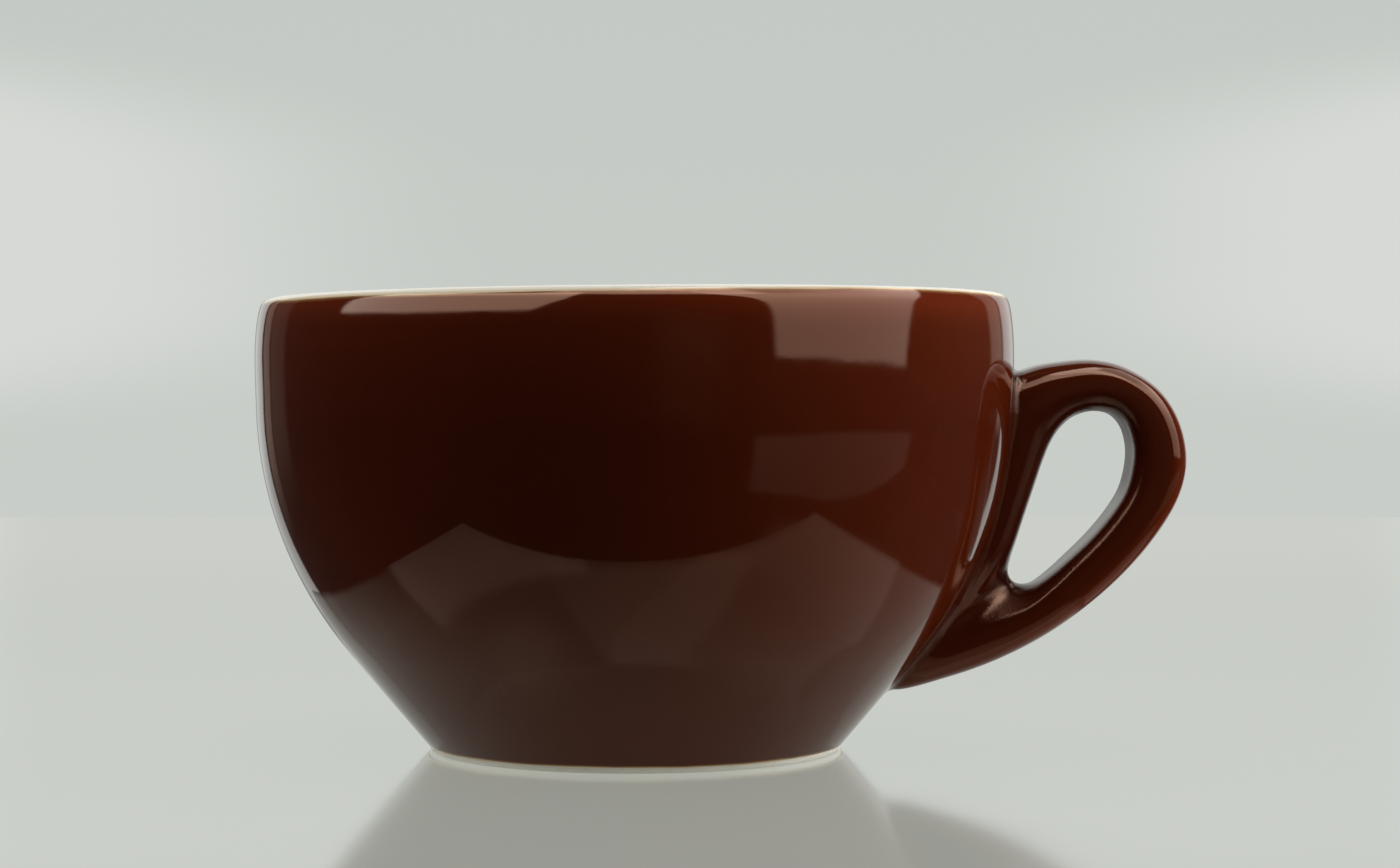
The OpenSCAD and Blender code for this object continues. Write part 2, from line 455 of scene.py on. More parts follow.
def rim_level(t, xyz, high=0.00034):
    """Height measured from the brown coat's upper edge, which leans and wanders around the rim."""
    angle = t.math("MULTIPLY", t.math("ARCTAN2", xyz[1], xyz[0]), 57.29578)
    u = t.math("DIVIDE", t.math("ADD", angle, 48.0), 36.0)
    rise = t.math("POWER", 2.71828, t.math("MULTIPLY", t.math("MULTIPLY", u, u), -1.0))
    drop = t.math("ADD", t.math("MULTIPLY", xyz[0], -0.0079), t.math("MULTIPLY", rise, -high))
    return t.math("ADD", xyz[2], drop)


BROWN_DEEP = (0.0485, 0.0060, 0.0012)
BROWN_WARM = (0.0575, 0.0076, 0.0014)
# lighter, redder brown for the painted light on the upper bowl and the handle's outer edges
BROWN_LIT = (0.1120, 0.0150, 0.0030)
AMBER = (0.34, 0.165, 0.065)
TAN = (0.68, 0.55, 0.35)


def brown_material(name, lines=True, seam=False, ear_coat=False):
    m, nodes, links = new_material(name)
    t = Tree(m.node_tree)
    co, xyz = object_coords(t)
    big = t.noise(co, 28, 3, 0.55)
    fine = t.noise(co, 420, 3, 0.6)
    colour = t.mix(t.ramp(big, 0.34, 0.68), BROWN_DEEP, BROWN_WARM)
    colour = t.mix(t.math("MULTIPLY", t.ramp(fine, 0.45, 0.75), 0.22), colour, (0.0680, 0.0098, 0.0030))
    # painted light: over the upper bowl and on the handle's edges that face away from its opening, the brown is mixed
    # towards a lighter, redder brown. It stands in for the light from above and the sides that these tilted surfaces
    # catch
    if ear_coat:
        away = t.add("ShaderNodeVectorMath", operation="MULTIPLY_ADD")
        t.links.new(co, away.inputs[0])
        away.inputs[1].default_value = (1.0, 0.0, 1.0)
        away.inputs[2].default_value = (-0.0545, 0.0, -0.0310)
        unit_away = t.add("ShaderNodeVectorMath", operation="NORMALIZE")
        t.links.new(away.outputs[0], unit_away.inputs[0])
        facing_out = t.add("ShaderNodeVectorMath", operation="DOT_PRODUCT")
        t.links.new(t.add("ShaderNodeTexCoord").outputs["Normal"], facing_out.inputs[0])
        t.links.new(unit_away.outputs[0], facing_out.inputs[1])
        facing_out = facing_out.outputs["Value"]
        # painted light: lighter and redder the more the handle's surface faces away from its opening
        painted_light = t.ramp(facing_out, -0.30, 0.34, 0.0, 0.52)
        colour = t.mix(painted_light, colour, BROWN_LIT)
    if lines:
        # painted light: lighter and redder towards the rim, where the bowl tilts up to the light overhead
        painted_light = t.math("ADD", t.ramp(xyz[2], 0.0400, 0.0515, 0.0, 0.35, "LINEAR"), t.ramp(xyz[2], 0.0515, 0.0549, 0.0, 0.65))
        colour = t.mix(painted_light, colour, BROWN_LIT)
    # it thins to amber and tan where it ends, at the lip and at the foot
    if lines:
        wander = t.math("MULTIPLY", t.math("SUBTRACT", t.noise(co, 95, 3, 0.55), 0.5), 0.00042)
        z = t.math("ADD", xyz[2], wander)
        zl = t.math("ADD", rim_level(t, xyz), wander)
        lip1 = t.ramp(zl, 0.05495, 0.05535)
        lip2 = t.ramp(zl, 0.05525, 0.05546)
        foot1 = t.ramp(z, 0.00108, 0.00084)
        foot2 = t.ramp(z, 0.00088, 0.00072)
        colour = t.mix(t.math("MULTIPLY", t.math("MAXIMUM", lip1, foot1), 0.62), colour, AMBER)
        colour = t.mix(t.math("MAXIMUM", lip2, foot2), colour, TAN)
    # pinholes and specks caught in the glaze
    pins = t.spots(co, 95, 0.00020, 0.11)
    dots = t.spots(co, 210, 0.00009, 0.07)
    colour = t.mix(t.math("MULTIPLY", pins, 0.75), colour, (0.42, 0.27, 0.19))
    colour = t.mix(t.math("MULTIPLY", dots, 0.5), colour, (0.30, 0.16, 0.10))
    rough = t.ramp(t.noise(co, 150, 3, 0.6), 0.3, 0.7, 0.040, 0.075, "LINEAR")
    rough = t.math("ADD", rough, t.math("MULTIPLY", t.math("MAXIMUM", pins, dots), 0.3))
    height = t.math("ADD", t.math("MULTIPLY", t.noise(co, 55, 2, 0.5), 1.0), t.math("MULTIPLY", t.noise(co, 520, 2, 0.5), 0.09))
    n = t.bump(height, 1.0, 0.00005)
    n = t.bump(t.math("ADD", pins, dots), 0.5, 0.00004, n)
    if ear_coat:
        # the wall of the opening is a little matt
        matt = t.ramp(facing_out, -0.02, -0.30)
        n = t.bump(t.math("MULTIPLY", t.noise(co, 1500, 4, 0.65), matt), 1.0, 0.00003, n)
        rough = t.math("ADD", rough, t.math("MULTIPLY", matt, 0.13))
    if seam:
        grit = t.noise(co, 1300, 4, 0.65)
        n = t.bump(grit, 1.0, 0.00006, n)
        rough = t.math("ADD", rough, t.math("MULTIPLY", t.ramp(grit, 0.5, 0.75), 0.12))
    shader(t, colour, rough, n, ior=1.52, tint=(1.0, 0.62, 0.44))
    return m


def white_material():
    m, nodes, links = new_material("white_glaze")
    t = Tree(m.node_tree)
    co, xyz = object_coords(t)
    big = t.noise(co, 35, 3, 0.5)
    colour = t.mix(t.ramp(big, 0.35, 0.7), (0.85, 0.80, 0.69), (0.89, 0.845, 0.74))
    # a warm tint where the white meets the brown
    wander = t.math("MULTIPLY", t.math("SUBTRACT", t.noise(co, 95, 3, 0.55), 0.5), 0.00025)
    z = t.math("ADD", rim_level(t, xyz, 0.00014), wander)
    r = t.math("SQRT", t.math("ADD", t.math("MULTIPLY", xyz[0], xyz[0]), t.math("MULTIPLY", xyz[1], xyz[1])))
    outside = t.ramp(r, 0.0450, 0.0456)
    tint = t.math("MULTIPLY", t.ramp(z, 0.05575, 0.05552), outside)
    colour = t.mix(t.math("MULTIPLY", tint, 0.75), colour, (0.74, 0.59, 0.37))
    dots = t.spots(co, 120, 0.00010, 0.06)
    colour = t.mix(t.math("MULTIPLY", dots, 0.6), colour, (0.34, 0.24, 0.17))
    rough = t.ramp(t.noise(co, 150, 3, 0.6), 0.3, 0.7, 0.05, 0.10, "LINEAR")
    height = t.math("ADD", t.noise(co, 60, 2, 0.5), t.math("MULTIPLY", t.noise(co, 600, 2, 0.5), 0.05))
    shader(t, colour, rough, t.bump(height, 1.0, 0.00005), ior=1.52)
    return m


def bare_material(name, tone, grain, rough0):
    m, nodes, links = new_material(name)
    t = Tree(m.node_tree)
    co, xyz = object_coords(t)
    f = t.noise(co, 900, 4, 0.65)
    b = t.noise(co, 70, 3, 0.5)
    colour = t.mix(t.ramp(b, 0.3, 0.7), tuple(c * 0.93 for c in tone), tone)
    colour = t.mix(t.math("MULTIPLY", t.ramp(f, 0.52, 0.78), 0.35), colour, tuple(c * g for c, g in zip(tone, (0.80, 0.74, 0.66))))
    rough = t.ramp(f, 0.2, 0.8, rough0 - 0.08, rough0 + 0.08, "LINEAR")
    shader(t, colour, rough, t.bump(f, 1.0, grain), ior=1.5)
    return m


def clear_material():
    m, nodes, links = new_material("clear_glaze")
    t = Tree(m.node_tree)
    co, xyz = object_coords(t)
    b = t.noise(co, 60, 3, 0.5)
    colour = t.mix(t.ramp(b, 0.3, 0.7), (0.70, 0.665, 0.585), (0.77, 0.74, 0.67))
    dots = t.spots(co, 160, 0.00012, 0.10)
    colour = t.mix(t.math("MULTIPLY", dots, 0.7), colour, (0.25, 0.17, 0.11))
    rough = t.ramp(t.noise(co, 200, 3, 0.6), 0.3, 0.7, 0.08, 0.16, "LINEAR")
    height = t.math("ADD", t.noise(co, 80, 2, 0.5), t.math("MULTIPLY", t.noise(co, 700, 2, 0.5), 0.06))
    shader(t, colour, rough, t.bump(height, 1.0, 0.00006), ior=1.5)
    return m


M_BROWN = brown_material("brown_glaze")
M_HANDLE = brown_material("brown_glaze_handle", lines=False, ear_coat=True)
M_BEAD = brown_material("brown_glaze_bead", lines=False, seam=True)
M_WHITE = white_material()
M_BARE = bare_material("bare_porcelain", (0.84, 0.815, 0.725), 0.00004, 0.5)
M_SLIP = bare_material("slip", (0.62, 0.57, 0.47), 0.00006, 0.75)
M_CLEAR = clear_material()


# ---------------------------------------------------------------- pieces

# Ear handle's brown coat: a shell between the grown ear and the clay ear, open to the bowl.
po, no = ear(GLAZE)
pi, ni = ear(0.0)
Vo, No, Fo, Lo = clip_outside(po, no)
Vi, Ni, Fi, Li = clip_outside(pi, ni)
k = len(Vo)
V = np.vstack([Vo, Vi])
N = np.vstack([No, -Ni])
faces = [list(f) for f in Fo] + [[v + k for v in reversed(f)] for f in Fi]
ring_faces = stitch(V, Lo, [v + k for v in Li])


def facing(face, way):
    a, b, c = V[face[0]], V[face[1]], V[face[2]]
    return float(np.dot(np.cross(b - a, c - a), way))


probe = Fo[len(Fo) // 3]
if facing(probe, No[probe[0]]) < 0:
    faces = [list(reversed(f)) for f in faces]
centre_out = -wall_normal(V[ring_faces[0]].mean(0)[None])[0]
if facing(ring_faces[0], centre_out) < 0:
    ring_faces = [list(reversed(f)) for f in ring_faces]
# the seam ring gets normals of its own, flat on each face, so that it doesn't pull at the shading of the coat
used = sorted({v for f in ring_faces for v in f})
handle_coat = make("handle_coat", V, faces + ring_faces, M_HANDLE, sharp=60)
me = handle_coat.data
loop_normals = np.zeros((len(me.loops), 3))
vi = np.zeros(len(me.loops), int)
me.loops.foreach_get("vertex_index", vi)
loop_normals[:] = N[vi]
first_ring = len(faces)
for p in me.polygons[first_ring:]:
    for l in p.loop_indices:
        loop_normals[l] = p.normal
me.normals_split_custom_set([tuple(n) for n in loop_normals])
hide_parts("handle_brown_glaze")
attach(handle_coat, "root")

# The ear as a solid, to test what lies inside it.
ear_quads = grid_quads(pi.shape[:2])
ear_tree = BVHTree.FromPolygons([tuple(p) for p in pi.reshape(-1, 3)], [tuple(int(i) for i in q) for q in ear_quads])
coat_tree = BVHTree.FromPolygons([tuple(p) for p in po.reshape(-1, 3)], [tuple(int(i) for i in q) for q in ear_quads])
po_flat, no_flat = po.reshape(-1, 3), no.reshape(-1, 3)


def on_ear(p):
    """Nearest points of the glazed ear with their smooth normals."""
    pts, nor = [], []
    for q in p:
        loc, n, idx, dist = coat_tree.find_nearest(Vector(q))
        quad = ear_quads[idx]
        d = np.linalg.norm(po_flat[quad] - np.array(loc), axis=1) + 1e-6
        w = 1 / d**2
        nor.append((no_flat[quad] * w[:, None]).sum(0) / w.sum())
        pts.append(np.array(loc))
    return np.array(pts), unit(np.array(nor))


def depth_in_ear(p):
    out = np.zeros(len(p))
    for i, q in enumerate(p):
        loc, n, idx, dist = ear_tree.find_nearest(Vector(q))
        quad = ear_quads[idx]
        nn = ni.reshape(-1, 3)[quad].mean(0)
        out[i] = -float(np.dot(q - np.array(loc), nn) > 0) * dist + float(np.dot(q - np.array(loc), nn) <= 0) * dist
    return out


# Bead of glaze in the corner between wall and handle.
L = smooth_loop(even(Vo[Lo], 520), 3)
L = on_wall(L)
tan = unit(np.roll(L, -1, 0) - np.roll(L, 1, 0))
wn = wall_normal(L)
side = unit(np.cross(wn, tan))
mid = L.mean(0)
if ((L - mid) * side).sum() < 0:
    side = -side
side = unit(smooth_loop(side, 6))
ep, en = on_ear(L)
up = unit(np.cross(tan, en))
up = np.where(((up * wn).sum(1) < 0)[:, None], -up, up)
up = unit(smooth_loop(up, 6))
# wide and rough along the lower half, narrow at the crisp top corner
zz = L[:, 2]
low = np.clip((34 - zz) / 14, 0, 1)
low = low * low * (3 - 2 * low)
idx = np.arange(len(L)) * 2 * np.pi / len(L)
rough = wave(idx, 3, 26, 7)
top_end = np.clip((zz - 37) / 5, 0, 1)
top_end = top_end * top_end * (3 - 2 * top_end)
ww = (0.60 + 0.75 * low + 0.75 * top_end) * (1 + 0.10 * low * rough)
wu = (0.65 + 0.65 * low + 0.80 * top_end) * (1 + 0.10 * low * wave(idx, 5, 26, 6))
A = on_wall(L + side * ww[:, None])
B, Bn = on_ear(L + up * wu[:, None])
An = wall_normal(A)
STEPS = 14
t = np.linspace(0, 1, STEPS + 1)[None, :, None]
corner = L + 0.0 * wn
strip = (1 - t) ** 2 * A[:, None] + 2 * t * (1 - t) * corner[:, None] + t**2 * B[:, None]
dt = 2 * (1 - t) * (corner - A)[:, None] + 2 * t * (B - corner)[:, None]
dl = np.roll(strip, -1, 0) - np.roll(strip, 1, 0)
sn = unit(np.cross(dl, dt))
if (sn[:, STEPS // 2] * (wn + en)).sum() < 0:
    sn = -sn
blend = np.clip(t * 5, 0, 1)
sn = unit((1 - blend) * An[:, None] + blend * sn)
blend = np.clip((1 - t) * 5, 0, 1)
sn = unit((1 - blend) * Bn[:, None] + blend * sn)
# lumps along the lower seam, fading to nothing at both edges
calm = np.clip((np.hypot(L[:, 0] - 45.8, L[:, 2] - 20.5) - 3.5) / 5, 0, 1)
lump = np.zeros(strip.shape[:2])
g = np.random.default_rng(21)
for _ in range(150):
    c = g.uniform(0, len(L))
    if low[int(c) % len(L)] < 0.3:
        continue
    s = g.uniform(2.0, 7.0)
    tt = g.uniform(0.15, 0.85)
    d = (np.arange(len(L)) - c + len(L) / 2) % len(L) - len(L) / 2
    lump += g.uniform(-0.05, 0.09) * np.exp(-(d[:, None] / s) ** 2 - ((t[0, :, 0][None] - tt) / 0.16) ** 2)
fade = (np.sin(np.pi * t[0, :, 0]) ** 0.7)[None]
top = strip + sn * (lump * fade * (low * calm)[:, None] * 1.2)[..., None]
top[:, 0] -= An * 0.012
top[:, -1] -= Bn * 0.012
under = L - unit(wn + en) * 0.03
m = len(L)
Vb = np.vstack([top.reshape(-1, 3), under])
at = lambda i, j: (i % m) * (STEPS + 1) + j
Fb = [[at(i, j), at(i + 1, j), at(i + 1, j + 1), at(i, j + 1)] for i in range(m) for j in range(STEPS)]
base = m * (STEPS + 1)
back = [[at(i + 1, 0), at(i, 0), base + i, base + (i + 1) % m] for i in range(m)]
back += [[at(i, STEPS), at(i + 1, STEPS), base + (i + 1) % m, base + i] for i in range(m)]
a, b, c = Vb[Fb[7][0]], Vb[Fb[7][1]], Vb[Fb[7][2]]
if np.dot(np.cross(b - a, c - a), sn.reshape(-1, 3)[Fb[7][0]]) < 0:
    Fb = [list(reversed(f)) for f in Fb]
    back = [list(reversed(f)) for f in back]
bead = make("joint_bead_coat", Vb, Fb + back, M_BEAD, sharp=None)
me = bead.data
# true normals along the strip; the lumps add theirs on top
auto = np.zeros(len(me.vertices) * 3)
me.vertices.foreach_get("normal", auto)
auto = auto.reshape(-1, 3)
flat = sn.reshape(-1, 3)
rough_part = np.repeat((low[:, None] * fade).reshape(-1, 1), 3, 1)
dl = np.roll(top, -1, 0) - np.roll(top, 1, 0)
dj = np.gradient(top, axis=1)
tn = unit(np.cross(dl, dj))
if (tn[:, STEPS // 2] * (wn + en)).sum() < 0:
    tn = -tn
flat = unit(flat * (1 - rough_part) + tn.reshape(-1, 3) * rough_part)
vi = np.zeros(len(me.loops), int)
me.loops.foreach_get("vertex_index", vi)
full = np.vstack([flat, -unit(wn + en)])
ln = full[vi]
for p in me.polygons[len(Fb):]:
    for l in p.loop_indices:
        ln[l] = p.normal
me.normals_split_custom_set([tuple(n) for n in ln])
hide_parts("joint_bead")
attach(bead, "root")

# Brown coat of the bowl: outer and inner grids with a window under the handle.
theta = np.arange(SEG) * 2 * np.pi / SEG
lip_wave = 0.05 * wave(theta, 11, 12, 3)
foot_wave = 0.07 * wave(theta, 12, 14, 3)


def around(at, width):
    """A soft bump along the rim at the angle 'at', in degrees."""
    return np.exp(-(((np.degrees(theta) - at + 180) % 360 - 180) / width) ** 2)


# the brown reaches a little higher on the right of the front and a little lower on its left
lip_wave = lip_wave + 0.34 * around(-48, 36) - 0.14 * around(-110, 16)


def rim_lean(v):
    """The rim stands a little higher on the handle's side."""
    v = np.array(v, float)
    k = np.clip((v[:, 2] - 46) / 9, 0, 1)
    v[:, 2] += 0.0079 * v[:, 0] * k * k * (3 - 2 * k)
    return v


def edge_shift(i, theta, count=NB):
    """Small waviness of the coat's two edges."""
    dz = np.zeros_like(theta)
    if i >= count - 6:
        dz = lip_wave * (1 - (count - 1 - i) / 6) ** 1.5
    if i < 5:
        dz = foot_wave * (1 - i / 5)
    k = 0.76 if i < 5 else -0.70
    return k * dz, dz


outer = np.zeros((NB, SEG, 3))
inner = np.zeros((NB, SEG, 3))
for i in range(NB):
    dr, dz = edge_shift(i, theta)
    r, z = BROWN[i]
    outer[i] = np.column_stack([(r + dr) * np.cos(theta), (r + dr) * np.sin(theta), z + dz])
    r, z = CLAY[i]
    inner[i] = np.column_stack([(r + dr) * np.cos(theta), (r + dr) * np.sin(theta), z + dz])
near = (np.abs((theta + np.pi) % (2 * np.pi) - np.pi) < 0.22)
cols = np.where(near)[0]
deep = np.full((NB, SEG), -9.0)
for i in range(NB):
    if 6.5 < BROWN[i][1] < 48:
        deep[i, cols] = depth_in_ear(outer[i, cols])
hole = np.zeros((NB - 1, SEG), bool)
for i in range(NB - 1):
    d = np.minimum(deep[i], deep[i + 1])
    d = np.minimum(d, np.roll(d, -1))
    hole[i] = d > 0.35
at = lambda i, j, s: s * NB * SEG + i * SEG + j % SEG
fc = []
for i in range(NB - 1):
    for j in range(SEG):
        if not hole[i, j]:
            fc.append((at(i, j, 0), at(i, j + 1, 0), at(i + 1, j + 1, 0), at(i + 1, j, 0)))
            fc.append((at(i, j, 1), at(i + 1, j, 1), at(i + 1, j + 1, 1), at(i, j + 1, 1)))
            if hole[i, (j + 1) % SEG]:
                fc.append((at(i, j + 1, 0), at(i, j + 1, 1), at(i + 1, j + 1, 1), at(i + 1, j + 1, 0)))
            if hole[i, j - 1]:
                fc.append((at(i, j, 0), at(i + 1, j, 0), at(i + 1, j, 1), at(i, j, 1)))
            if i < NB - 2 and hole[i + 1, j]:
                fc.append((at(i + 1, j, 0), at(i + 1, j + 1, 0), at(i + 1, j + 1, 1), at(i + 1, j, 1)))
            if i > 0 and hole[i - 1, j]:
                fc.append((at(i, j, 0), at(i, j, 1), at(i, j + 1, 1), at(i, j + 1, 0)))
for j in range(SEG):
    fc.append((at(0, j, 0), at(0, j, 1), at(0, j + 1, 1), at(0, j + 1, 0)))
    fc.append((at(NB - 1, j, 0), at(NB - 1, j + 1, 0), at(NB - 1, j + 1, 1), at(NB - 1, j, 1)))
verts = np.vstack([outer.reshape(-1, 3), inner.reshape(-1, 3)])
used = np.zeros(len(verts), bool)
for f in fc:
    used[list(f)] = True
remap = np.cumsum(used) - 1
bowl_coat = make("bowl_coat", rim_lean(verts[used]), [[remap[v] for v in f] for f in fc], M_BROWN)
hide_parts("outside_brown_glaze")
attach(bowl_coat, "root")

# White coat over the lip and the inside, one turned shell from axis to axis.
clay_in = CLAY[NB - 1:]
chain = np.vstack([WHITE[::-1], clay_in[:1], clay_in[1:]])
nw = len(WHITE)


def white_shift(i, theta):
    dz = np.zeros_like(theta)
    d = abs(i - (nw - 1)) if i < nw else abs(i - nw)
    if d < 6:
        dz = lip_wave * (1 - d / 6) ** 1.5
    return -0.70 * dz, dz


v, f = revolve(chain, closed=False, shift=white_shift)
white = make("inside_coat", rim_lean(v), [list(reversed(x)) for x in f], M_WHITE)
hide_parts("inside_white_glaze")
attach(white, "root")

# Porcelain bowl; only the bare foot ring shows.
foot = np.vstack([RECESS[:-1], FOOT, CLAY])


def foot_shift(i, theta):
    d = abs(i - (len(RECESS) - 1 + len(FOOT)))
    dz = foot_wave * max(0.0, 1 - d / 5) if i >= len(RECESS) - 1 + len(FOOT) - 4 else np.zeros_like(theta)
    return 0.76 * dz, dz


v, f = revolve(foot, closed=False, shift=foot_shift)
body = make("porcelain_bowl", rim_lean(v), f, M_BARE)
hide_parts("cup_body")
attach(body, "root")

# Clear glaze in the hollow under the base.
rn = normals_of(RECESS)
low_run = RECESS + 0.25 * rn
low_run[0] = [0, 2.75]
v, f = revolve(np.vstack([RECESS, low_run[::-1]]), closed=False)
base_coat = make("base_coat", v, [list(reversed(x)) for x in f], M_CLEAR)
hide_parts("base_clear_glaze")
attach(base_coat, "root")

# The clay handle and the slip lie inside and keep their own shapes.
for name, mat in (("handle", M_BARE), ("handle_slip_joint", M_SLIP)):
    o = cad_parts[name]
    o.data.materials.clear()
    o.data.materials.append(mat)


# ---------------------------------------------------------------- floor, light, camera

def box_mesh(name, lo, hi, material):
    x0, y0, z0 = lo
    x1, y1, z1 = hi
    v = [(x, y, z) for z in (z0, z1) for y in (y0, y1) for x in (x0, x1)]
    f = [(0, 2, 3, 1), (4, 5, 7, 6), (0, 1, 5, 4), (2, 6, 7, 3), (0, 4, 6, 2), (1, 3, 7, 5)]
    me = bpy.data.meshes.new(name)
    me.from_pydata(v, [], f)
    me.materials.append(material)
    ob = bpy.data.objects.new(name, me)
    bpy.context.scene.collection.objects.link(ob)
    ob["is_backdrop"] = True
    return ob


def slab_mesh(name, corners, material):
    """A flat slab over four corners, given counter-clockwise."""
    v = [(x, y, z) for z in (-0.01, 0.0) for x, y in corners]
    f = [(3, 2, 1, 0), (4, 5, 6, 7), (0, 1, 5, 4), (1, 2, 6, 5), (2, 3, 7, 6), (3, 0, 4, 7)]
    me = bpy.data.meshes.new(name)
    me.from_pydata(v, [], f)
    me.materials.append(material)
    ob = bpy.data.objects.new(name, me)
    bpy.context.scene.collection.objects.link(ob)
    ob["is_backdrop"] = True
    return ob


m_floor, _, _ = new_material("floor")
t = Tree(m_floor.node_tree)
co, xyz = object_coords(t)
cloud = t.noise(co, 6, 3, 0.5)
colour = t.mix(t.ramp(cloud, 0.3, 0.7), (0.044, 0.0455, 0.043), (0.048, 0.0495, 0.047))
floor_shader = shader(t, colour, t.ramp(t.noise(co, 30, 3, 0.5), 0.3, 0.7, 0.085, 0.110, "LINEAR"), ior=1.46)
# a pale milky surface, lit a little from within, so that shadows on it stay light
floor_shader.inputs["Emission Color"].default_value = (0.965, 1.0, 0.900, 1)
# painted reflection: rays mirrored in the cup's gloss see the glow shaped into bright patches by the masks below,
# while the camera and the matt light see it nearly even
slant = t.math("ADD", xyz[0], t.math("MULTIPLY_ADD", xyz[1], 0.11, 0.0075))
fade = t.math("MULTIPLY", t.ramp(xyz[1], -0.074, -0.032, 0.36, 1.12, "LINEAR"), t.ramp(slant, -0.062, -0.040, 0.42, 1.0, "LINEAR"))
fade = t.math("MULTIPLY", fade, t.math("MULTIPLY", t.ramp(xyz[1], -0.068, -0.0635), t.ramp(slant, -0.0605, -0.0570)))
corner = t.math("MULTIPLY", t.ramp(slant, -0.060, -0.022, 0.80, 0.0, "LINEAR"), t.ramp(xyz[1], -0.040, -0.012, 1.0, 0.0, "LINEAR"))
fade = t.math("MULTIPLY", fade, t.math("SUBTRACT", 1.0, corner))
fade = t.math("MULTIPLY", fade, t.ramp(xyz[0], 0.072, 0.0685))
# painted highlight: a soft bright spot in the glow that only the cup's gloss mirrors
mirrored_spot = t.add("ShaderNodeVectorMath", operation="DISTANCE")
t.links.new(co, mirrored_spot.inputs[0])
mirrored_spot.inputs[1].default_value = (-0.0180, -0.0385, 0.0)
fade = t.math("ADD", fade, t.ramp(mirrored_spot.outputs["Value"], 0.0115, 0.0015, 0.0, 0.42))
mirrored = t.add("ShaderNodeLightPath").outputs["Is Glossy Ray"]
open_part = t.math("MULTIPLY", t.math("SUBTRACT", 1.0, mirrored), t.ramp(xyz[1], 0.08, 0.50, 1.0, 1.15))
glow = t.math("ADD", open_part, t.math("MULTIPLY", mirrored, fade))
t.links.new(t.math("MULTIPLY", glow, 0.285), floor_shader.inputs["Emission Strength"])

# The floor is cut along the edges of its bright part, so that the rest can stay out of the mirror images.
near_floor = slab_mesh("floor_near", ((-0.0605, -0.068), (0.072, -0.068), (0.072, 0.068), (-0.0755, 0.068)), m_floor)
left_floor = slab_mesh("floor_left", ((-3, -0.068), (-0.0605, -0.068), (-0.0755, 0.068), (-3, 0.068)), m_floor)
left_floor.visible_glossy = left_floor.visible_diffuse = left_floor.visible_shadow = False
near_right = box_mesh("floor_near_right", (0.072, 0.034, -0.01), (0.125, 0.068, 0.0), m_floor)
for name, lo, hi in (
        ("floor_front", (-3, -3, -0.01), (3, -0.068, 0.0)),
        ("floor_back", (-3, 0.068, -0.01), (3, 0.604, 0.0)),
        ("floor_right", (0.125, -0.068, -0.01), (3, 0.068, 0.0)),
        ("floor_right_front", (0.072, -0.068, -0.01), (0.125, 0.034, 0.0))):
    o = box_mesh(name, lo, hi, m_floor)
    o.visible_glossy = False
    o.visible_diffuse = False
    o.visible_shadow = False

world = bpy.data.worlds.new("studio")
bpy.context.scene.world = world
world.use_nodes = True
world.node_tree.nodes.clear()
w = Tree(world.node_tree)
gen = w.add("ShaderNodeTexCoord").outputs["Generated"]
sep = w.add("ShaderNodeSeparateXYZ")
w.links.new(gen, sep.inputs[0])
X, Y, Z = sep.outputs
az = w.math("MULTIPLY", w.math("ARCTAN2", X, w.math("MULTIPLY", Y, -1.0)), 57.29578)
el = w.math("MULTIPLY", w.math("ARCSINE", Z), 57.29578)


def between(x, lo, hi, soft):
    """1 where x lies between lo and hi, which may be numbers or sockets."""
    up = w.ramp(w.math("SUBTRACT", x, lo), -soft, soft)
    down = w.ramp(w.math("SUBTRACT", x, hi), soft, -soft)
    return w.math("MULTIPLY", up, down)


def patch(a0, a1, e0, e1, soft_a=1.5, soft_e=1.5):
    return w.math("MULTIPLY", between(az, a0, a1, soft_a), between(el, e0, e1, soft_e))


def poly(x, *c):
    total = c[-1]
    for k in reversed(c[:-1]):
        total = w.math("MULTIPLY_ADD", x, total, k)
    return total


def tinted(mask, strength, tone):
    m = w.math("MULTIPLY", mask, strength)
    n = w.add("ShaderNodeVectorMath", operation="SCALE")
    n.inputs[0].default_value = tone
    w.feed(n.inputs["Scale"], m)
    return n.outputs[0]


def total_of(*terms):
    total = terms[0]
    for x in terms[1:]:
        n = w.add("ShaderNodeVectorMath", operation="ADD")
        w.links.new(total, n.inputs[0])
        w.links.new(x, n.inputs[1])
        total = n.outputs[0]
    return total


def lobe(azimuth, elevation, power):
    a, e = math.radians(azimuth), math.radians(elevation)
    n = w.add("ShaderNodeVectorMath", operation="DOT_PRODUCT")
    w.links.new(gen, n.inputs[0])
    n.inputs[1].default_value = (math.sin(a) * math.cos(e), -math.cos(a) * math.cos(e), math.sin(e))
    return w.math("POWER", w.math("MAXIMUM", n.outputs["Value"], 0.0), power)


# What the gloss mirrors: a tall window on the right that leans over the cup, a long box light on the
# left, a light overhead, a pale backdrop behind, and the window once more, faintly, in the dark below.
WARM, PALE, SHEET = (1.0, 0.80, 0.66), (1.0, 0.99, 0.97), (0.95, 1.0, 0.97)
high = w.math("MAXIMUM", w.math("SUBTRACT", el, 12.0), 0.0)
window = w.math("MULTIPLY", between(az, poly(high, 42.3, 0.0, -0.016), poly(w.math("MAXIMUM", el, 0.0), 87.3, 0.2, 0.015), 1.2), between(el, poly(w.math("SUBTRACT", az, 42.6), 0.2, -0.021), 95.0, 0.5))
